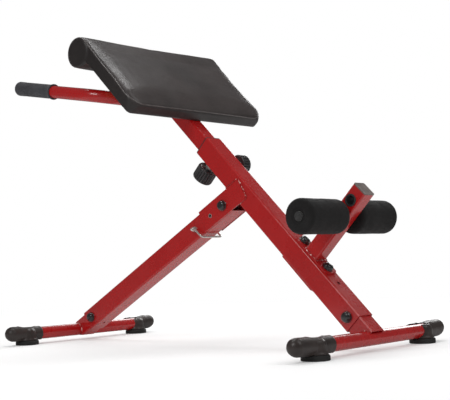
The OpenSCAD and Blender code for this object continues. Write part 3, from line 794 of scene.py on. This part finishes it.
# ---------------------------------------------------------------- grips
for side, name in ((-1, "near"), (1, "far")):
    tip = HANDLE_AT + FORWARD * GRIP_TIP / 1000 + ACROSS * side * HANDLE_Y / 1000
    profile = rounded([
        (0, 0, 0), (6.0, 0.05, 1), (7.0, 1.3, 0.8), (8.5, 0.15, 1), (22.3, 0.9, 11), (22.1, 30, 3),
        (21.5, 34, 3), (21.4, GRIP_LEN - 16, 4), (21.6, GRIP_LEN - 8, 3), (24.0, GRIP_LEN - 4.5, 2),
        (24.0, GRIP_LEN, 1.8), (19.15, GRIP_LEN, 0.8), (19.15, 3.2, 0), (0, 3.2, 0),
    ], 8)
    profile = finer(profile, lambda a, b: int(abs(b[1] - a[1]) // 3))

    def ribbed(t, r, h):
        if 36 < h < GRIP_LEN - 18 and r > 20:
            fade = min(1.0, (h - 36) / 5, (GRIP_LEN - 18 - h) / 5)
            return r + fade * (0.34 * math.cos(40 * t) - 0.1), h
        return r, h

    bm = lathe(bmesh.new(), profile, 320, axis_matrix(tip, -FORWARD), ribbed)
    grip = add(f"grip_sleeve_{name}", bm, "pad_post", MATS["grip_foam"])
    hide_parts(f"grip_{name}")

# ---------------------------------------------------------------- knobs


def knob(name, body, origin, axis, radius, height, ribs, cad):
    """A fluted knob on the axis from origin. cad is the node that it replaces."""
    def fluted(t, r, h):
        if r < radius - 5.5:
            return r, h
        rib = math.cos(ribs * t)
        deep = 2.8 * max(0.0, 0.35 - rib) / 1.35
        ends = unit(min(h - 1.0, height - 1.0 - h) / 4)
        return r - deep * ends * 1.4, h

    profile = rounded([
        (5.1, 6, 0), (5.1, 0.4, 0.6), (11, 0, 1), (12, 2.6, 1), (radius - 8, 2.8, 1), (radius - 7, 0.3, 1),
        (radius - 1.8, 0.3, 1.4), (radius, 3.0, 2), (radius, height - 4.5, 2.4),
        (radius - 2.6, height - 0.4, 2.4), (radius - 8.5, height, 1.5), (radius - 10.5, height - 1.8, 1),
        (0.0, height - 1.2, 0),
    ], 5)
    profile = finer(profile, lambda a, b: int(abs(b[1] - a[1]) // 3) + 1)
    bm = lathe(bmesh.new(), profile, ribs * 10, axis_matrix(origin, axis), fluted)
    obj = add(name, bm, body, MATS["knob_plastic"])
    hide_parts(cad)
    return obj


knob("pop_pin_grip", "pop_pin", on_beam(POP_PIN_AT, -48), -OFF_BEAM, 30.5, 42, 22, "pop_pin_knob")
knob("clamp_grip", "clamp_screw", on_beam(CLAMP_AT, CLAMP_RISE, 47), ACROSS, 28.5, 33, 22, "clamp_knob")

# ---------------------------------------------------------------- domed bolt caps
DOME = rounded([
    (5.2, 5.0, 0), (5.2, 0.05, 0), (15.0, 0.05, 0.3), (15.2, 1.9, 0.9), (14.2, 2.4, 0.6), (14.0, 7.0, 3.2),
    (10.6, 12.0, 5.0), (0, 13.6, 0),
], 7)


def domes(name, body, cad, places):
    """A domed cap on each (origin, axis) of places, as one piece. cad is the node that it replaces."""
    bm = bmesh.new()
    for origin, axis in places:
        lathe(bm, DOME, 56, axis_matrix(origin, axis))
    obj = add(name, bm, body, MATS["bolt_cap_plastic"])
    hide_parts(cad)


domes("rear_stub_domes", "rear_frame", "rear_stub_bolt_caps",
      [(on_beam(REAR_BOLT_AT, 0, y), (0, y, 0)) for y in (-30, 30)])
domes("pivot_domes", "rear_frame", "pivot_bolt_caps",
      [(on_leg(LEG_LEN, 0, y), (0, y, 0)) for y in (-33.5, 33.5)])
domes("front_stub_domes", "front_leg", "front_stub_bolt_caps",
      [(on_leg(FRONT_BOLT_AT, 0, y), (0, y, 0)) for y in (-29.7, 29.7)])
domes("carriage_domes", "rear_frame", "carriage_bolt_caps",
      [(on_beam(s, 34), OFF_BEAM) for s in CARRIAGE_BOLTS_AT])

# ---------------------------------------------------------------- rims of the latch holes in the bracket's ears
rims = bmesh.new()
for side in (-1, 1):
    lathe(rims, rounded([
        (4.43, 32.0, 0), (4.43, 34.3, 0.4), (6.1, 34.1, 0.5), (6.3, 33.52, 0.2), (4.49, 33.52, 0), (4.49, 30.2, 0),
        (4.43, 30.2, 0), (4.43, 32.0, 0),
    ], 4), 40, axis_matrix(on_leg(LATCH_AT, 0), (0, side, 0)))
add("latch_hole_rims", rims, "rear_frame", MATS["plated_steel"])

# ---------------------------------------------------------------- weld beads


def bead(bm, points, radius):
    """A weld bead along points, uneven like one, in metres."""
    path = smooth_path([Vector(p) for p in points], 0.0009)
    tube_path(bm, path, radius, sides=8,
              swell=lambda i: (0.86 + 0.2 * abs(math.sin(i * 0.62)) + 0.1 * noise.noise(path[i] * 160))
              * (0.55 if i in (0, len(path) - 1) else 1.0))


def arc(radius, degrees):
    """(radius x cosine, radius x sine) at each angle."""
    return [(radius * math.cos(math.radians(a)), radius * math.sin(math.radians(a))) for a in degrees]


HALF_TURN = range(-85, 86, 10)
FULL_TURN = range(0, 361, 20)
# Painted highlights: light pinkish metallic spots, by a noise, on the red beads stand in for the glints of the welds.
weld_glint_paint = Finish("weld_glint_paint", (0.345, 0.0042, 0.0045), 0.2, metal=0.3, coat=1.0, coat_rough=0.05)
weld_glint_paint.over(weld_glint_paint.ramp(weld_glint_paint.noise(110, 4), 0.53, 0.6), (0.9, 0.5, 0.47), under=(0.34, 0.004, 0.004))
weld_glint_paint.bump(weld_glint_paint.noise(500, 3), 0.0001)
weld_glint_paint = weld_glint_paint.m

rear_welds = bmesh.new()
for y in (-30.6, 30.6):
    quarter = [math.pi / 2 * k / 6 for k in range(7)]
    outline = [(786, 34.4), (829, 34.4)]
    outline += [(829 + 9 * math.sin(a), 25.4 + 9 * math.cos(a)) for a in quarter[1:]]
    outline += [(829 + 9 * math.cos(a), -20.7 - 9 * math.sin(a)) for a in quarter]
    outline.append((806, -29.7))
    bead(rear_welds, [on_leg(a + (1.4 if a > 828 else 0), r + (1.4 if r > 34 else 0), y) for a, r in outline], 0.0021)
corners = [(22.5, 22.5), (-22.5, 22.5), (-22.5, -22.5), (22.5, -22.5), (22.5, 22.5)]
bead(rear_welds, [on_beam(CARRIAGE_AT + a * 1.03, 34.6, b * 1.03) for a, b in corners], 0.0025)
for y in (-27.3, 27.3):
    bead(rear_welds, [on_beam(a, b, y) for a, b in arc(19.6, HALF_TURN)], 0.0022)
bead(rear_welds, [on_beam(POP_PIN_AT + a, -30.4, b) for a, b in arc(12.4, FULL_TURN)], 0.0018)
bead(rear_welds, [on_beam(CLAMP_AT + a, CLAMP_RISE + b, 30.4) for a, b in arc(12.6, FULL_TURN)], 0.0018)
add("rear_welds", rear_welds, "rear_frame", weld_glint_paint)

leg_welds = bmesh.new()
for y in (-26.3, 26.3):
    bead(leg_welds, [on_leg(a, b, y) for a, b in arc(19.6, HALF_TURN)], 0.0022)
add("leg_welds", leg_welds, "front_leg", weld_glint_paint)

pad_welds = bmesh.new()
for y in (-23.6, 23.6):
    for at in (905, 1010):
        bead(pad_welds, [on_beam(at - 18, 22.6, y), on_beam(at + 18, 22.6, y)], 0.0018)
    bead(pad_welds, [on_beam(1000, -23.2, y * 0.99), on_beam(1052, -23.2, y * 0.99)], 0.0018)
for at in (999.6, 1052.4):
    bead(pad_welds, [on_beam(at, -24.0, -20), on_beam(at, -24.0, 20)], 0.0018)
for way in (-1, 1):
    for y in (23.4, -23.4):
        bead(pad_welds, [on_beam(SADDLE_AT + b * way, SADDLE_RISE + a, y) for a, b in arc(19.3, range(10, 91, 10))],
             0.0016)
add("pad_welds", pad_welds, "pad_post", weld_glint_paint)

# ---------------------------------------------------------------- end caps and feet
CAP_VOXEL = 0.0015
CAP_UNDERSIDE = 0.0131


def solid_of(bm, name):
    """A throwaway object of a mesh, for use as a cutter or a body to cut."""
    return add(name, bm, None, MATS["cap_plastic"])


def prism(outline, low, high):
    """A closed prism on a plan outline, in millimetres."""
    bm = bmesh.new()
    a = [bm.verts.new((x / 1000, y / 1000, low / 1000)) for x, y in outline]
    b = [bm.verts.new((x / 1000, y / 1000, high / 1000)) for x, y in outline]
    bridge(bm, a, b)
    close_ends(bm, a, b)
    return bm


def end_cap(name, body, bar_x, foot_y, end_y, long_y, short_y, side, cad_cap, cad_foot):
    """A moulded cap on a base bar's end, and its rubber foot.

    side is 1 for the far end and -1 for the near end. foot_y is the foot's middle and end_y the cap's tip. The
    sleeve's mouth is at long_y on one flank of the bar and at short_y on the other. All four are in millimetres
    from the machine's middle.
    """
    low_y = long_y - 12
    sleeve = [(0, low_y), (22.6, low_y)]
    for y, r in ((long_y + 10, 22.6), (foot_y - 34, 22.9), (foot_y, 23.0), (foot_y + 34, 22.2),
                 (foot_y + 42, 21.8), (end_y - 40, 21.6), (end_y - 22, 22.0)):
        if y > sleeve[-1][1] + 4:
            sleeve.append((r, y))
    for k in range(1, 9):
        a = math.pi / 2 * k / 8
        sleeve.append((22.0 * math.cos(a) if k < 8 else 0, end_y - 22.0 + 22.0 * math.sin(a)))
    turned = Matrix.Translation((0, 0, BAR_Z)) @ Matrix.Rotation(-math.pi / 2, 4, "X") @ Matrix.Rotation(0.05, 4, "Z")
    bm = lathe(bmesh.new(), sleeve, 48, turned)
    for v in bm.verts:
        t = unit((v.co.y * 1000 - foot_y + 30) / (end_y - foot_y))
        late = unit((v.co.y * 1000 - end_y + 37) / 26)
        upper = unit((v.co.z - BAR_Z + 0.008) / 0.016)
        v.co.z += 0.004 * (upper * t * t * (3 - 2 * t) + (1 - upper) * late * late * (3 - 2 * late))
    cap = solid_of(bm, name)
    inner, outer = 5, 9
    outline = [(-60, low_y - 20), (-60, long_y)]
    for k in range(5):
        a = math.pi / 2 * k / 4
        outline.append((-inner + inner * math.sin(a), long_y + inner - inner * math.cos(a)))
    for k in range(7):
        a = math.pi / 2 * k / 6
        outline.append((outer - outer * math.cos(a), short_y - outer + outer * math.sin(a)))
    outline += [(60, short_y), (60, low_y - 20)]
    cutter = solid_of(prism(outline, -20, 90), name + "_mouth")
    modify(cap, "BOOLEAN", object=cutter, operation="DIFFERENCE", solver="EXACT")
    bpy.data.objects.remove(cutter)
    boss = [(0, 13.3), (31.0, 13.3), (31.6, 16.0), (29.2, 20.0), (28.0, 27), (27.2, 38), (25.4, 44.5), (19.5, 50.0),
            (0, 51.0)]
    post = solid_of(lathe(bmesh.new(), boss, 48, Matrix.Translation((0, foot_y / 1000, 0))), name + "_post")
    both = bmesh.new()
    both.from_mesh(cap.data)
    both.from_mesh(post.data)
    both.to_mesh(cap.data)
    both.free()
    bpy.data.objects.remove(post)
    modify(cap, "REMESH", mode="VOXEL", voxel_size=CAP_VOXEL, use_smooth_shade=True)
    relax(cap.data, 3)
    # A shallow dish with a low rim over the foot, and a flat underside.
    for v in cap.data.vertices:
        dy = (v.co.y * 1000 - foot_y - 4) / 30
        dx = v.co.x * 1000 / 12.5
        d = dx * dx + dy * dy
        if v.co.z > BAR_Z + 0.012:
            if d < 1:
                v.co.z -= 0.0026 * (1 - d) ** 0.8
            v.co.z += 0.0005 * math.exp(-((d - 1.15) / 0.22) ** 2)
        v.co.z = max(v.co.z, CAP_UNDERSIDE)
    turn = Matrix.Rotation(0 if side > 0 else math.pi, 4, "Z")
    cap.data.transform(Matrix.Translation((bar_x, 0, 0)) @ turn)
    for polygon in cap.data.polygons:
        polygon.use_smooth = True
    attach(cap, body)
    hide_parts(cad_cap)
    foot = lathe(bmesh.new(), rounded([
        (0, 0.9, 0), (22, 0.9, 0.5), (23, 0.0, 0.5), (35.2, 0.0, 1.2), (35.5, 4.2, 0.8), (35.0, 4.8, 0.3),
        (35.4, 5.4, 0.5), (35.2, 10.6, 1.2), (33.6, 12.9, 1.2), (0, 12.95, 0),
    ], 5), 72, Matrix.Translation((bar_x, side * foot_y / 1000, 0)))
    foot = add(name.replace("cap", "foot_pad"), foot, body, MATS["foot_rubber"])
    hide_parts(cad_foot)


for end, body, bar_x, foot_y, end_y, long_y, short_y in (
        ("rear", "rear_frame", REAR_X, 238, 333, 182, 243), ("front", "front_leg", FRONT_X, 228, 306, 182, 224)):
    for side, name in ((-1, "near"), (1, "far")):
        end_cap(f"{end}_cap_{name}", body, bar_x, foot_y, end_y, long_y, short_y, side,
                f"{end}_end_cap_{name}", f"{end}_foot_{name}")

# ---------------------------------------------------------------- stage
floor = bmesh.new()
bmesh.ops.create_grid(floor, x_segments=2, y_segments=2, size=40)
ground = Finish("ground", (0.9, 0.9, 0.9), 0.7, specular=0.0)
ground.colour(ground.noise(0.6, 3), (0.88, 0.88, 0.88), (0.92, 0.92, 0.92))
# The floor fades to plain white away from the middle, and is dim in what glossy surfaces reflect.
far_off = ground.node("ShaderNodeVectorMath", operation="LENGTH")
ground.link(ground.where, far_off.inputs[0])
mirrored = ground.node("ShaderNodeLightPath").outputs["Is Glossy Ray"]
glow = ground.node("ShaderNodeEmission")
fade = ground.node("ShaderNodeMixShader")
most = ground.node("ShaderNodeMath", operation="MAXIMUM")
ground.link(ground.ramp(far_off.outputs["Value"], 0.7, 2.6, 0.25, 1.0), most.inputs[0])
ground.link(ground.ramp(mirrored, 0, 1, 0.0, 0.55), most.inputs[1])
ground.link(most.outputs["Value"], fade.inputs[0])
ground.link(ground.ramp(mirrored, 0, 1, 1.0, 0.12), glow.inputs["Strength"])
ground.link(ground.bsdf.outputs["BSDF"], fade.inputs[1])
ground.link(glow.outputs["Emission"], fade.inputs[2])
ground.link(fade.outputs["Shader"], ground.tree.nodes["Material Output"].inputs["Surface"])
FLOOR_GAP = 0.0004
floor = add("floor", floor, None, ground.m, smooth=False)
floor.location = (0, 0, -FLOOR_GAP)

# The sky is white to the camera, dimmer as a light, and dimmer still in reflections.
world = bpy.data.worlds.new("studio")
world.use_nodes = True
tree = world.node_tree
sky = tree.nodes["Background"]
put(sky, Color=(1.0, 1.0, 1.0, 1))
path = tree.nodes.new("ShaderNodeLightPath")
strength = tree.nodes.new("ShaderNodeMapRange")
put(strength, To_Min=0.62, To_Max=0.1)
tree.links.new(path.outputs["Is Glossy Ray"], strength.inputs["Value"])
seen = tree.nodes.new("ShaderNodeMix")
seen.data_type = "FLOAT"
tree.links.new(path.outputs["Is Camera Ray"], seen.inputs["Factor"])
tree.links.new(strength.outputs["Result"], seen.inputs["A"])
put(seen, B=1.0)
tree.links.new(seen.outputs["Result"], sky.inputs["Strength"])
scene.world = world
scene.view_settings.view_transform = "Standard"


def area(name, place, target, size, power):
    """A rectangular light at place that faces target."""
    light = bpy.data.lights.new(name, "AREA")
    light.shape = "RECTANGLE"
    light.size, light.size_y = size
    light.energy = power
    obj = bpy.data.objects.new(name, light)
    scene.collection.objects.link(obj)
    obj.location = place
    obj.rotation_euler = (Vector(target) - Vector(place)).to_track_quat("-Z", "Y").to_euler()


area("key", (0.6, -2.8, 2.2), (0.0, 0.0, 0.4), (1.2, 1.0), 26)
area("top", (-0.5, 0.3, 3.0), (0.0, 0.0, 0.5), (2.0, 0.4), 24)
area("strip", (-1.0, 2.2, 1.35), (0.3, 0.0, 0.1), (2.6, 0.7), 30)
area("side", (2.3, 0.7, 2.6), (0.1, 0.0, 0.6), (0.5, 1.8), 17)

# The camera as it was solved from the photograph: place in metres, angles in degrees.
CAMERA_AT = (1.9946, -2.1176, 0.2468)
YAW, PITCH, ROLL = 42.14, 3.31, -2.02
camera = bpy.data.cameras.new("camera")
camera.sensor_fit = "HORIZONTAL"
camera.sensor_width = 36.0
camera.lens = 79.94
cam = bpy.data.objects.new("camera", camera)
scene.collection.objects.link(cam)
yaw, pitch, roll = (math.radians(a) for a in (YAW, PITCH, ROLL))
look = Vector((-math.sin(yaw) * math.cos(pitch), math.cos(yaw) * math.cos(pitch), math.sin(pitch)))
level = Vector((math.cos(yaw), math.sin(yaw), 0))
upright = level.cross(look)
right = level * math.cos(roll) + upright * math.sin(roll)
up = -level * math.sin(roll) + upright * math.cos(roll)
cam.matrix_world = Matrix((
    (right.x, up.x, -look.x, CAMERA_AT[0]),
    (right.y, up.y, -look.y, CAMERA_AT[1]),
    (right.z, up.z, -look.z, CAMERA_AT[2]),
    (0, 0, 0, 1),
))
scene.camera = cam
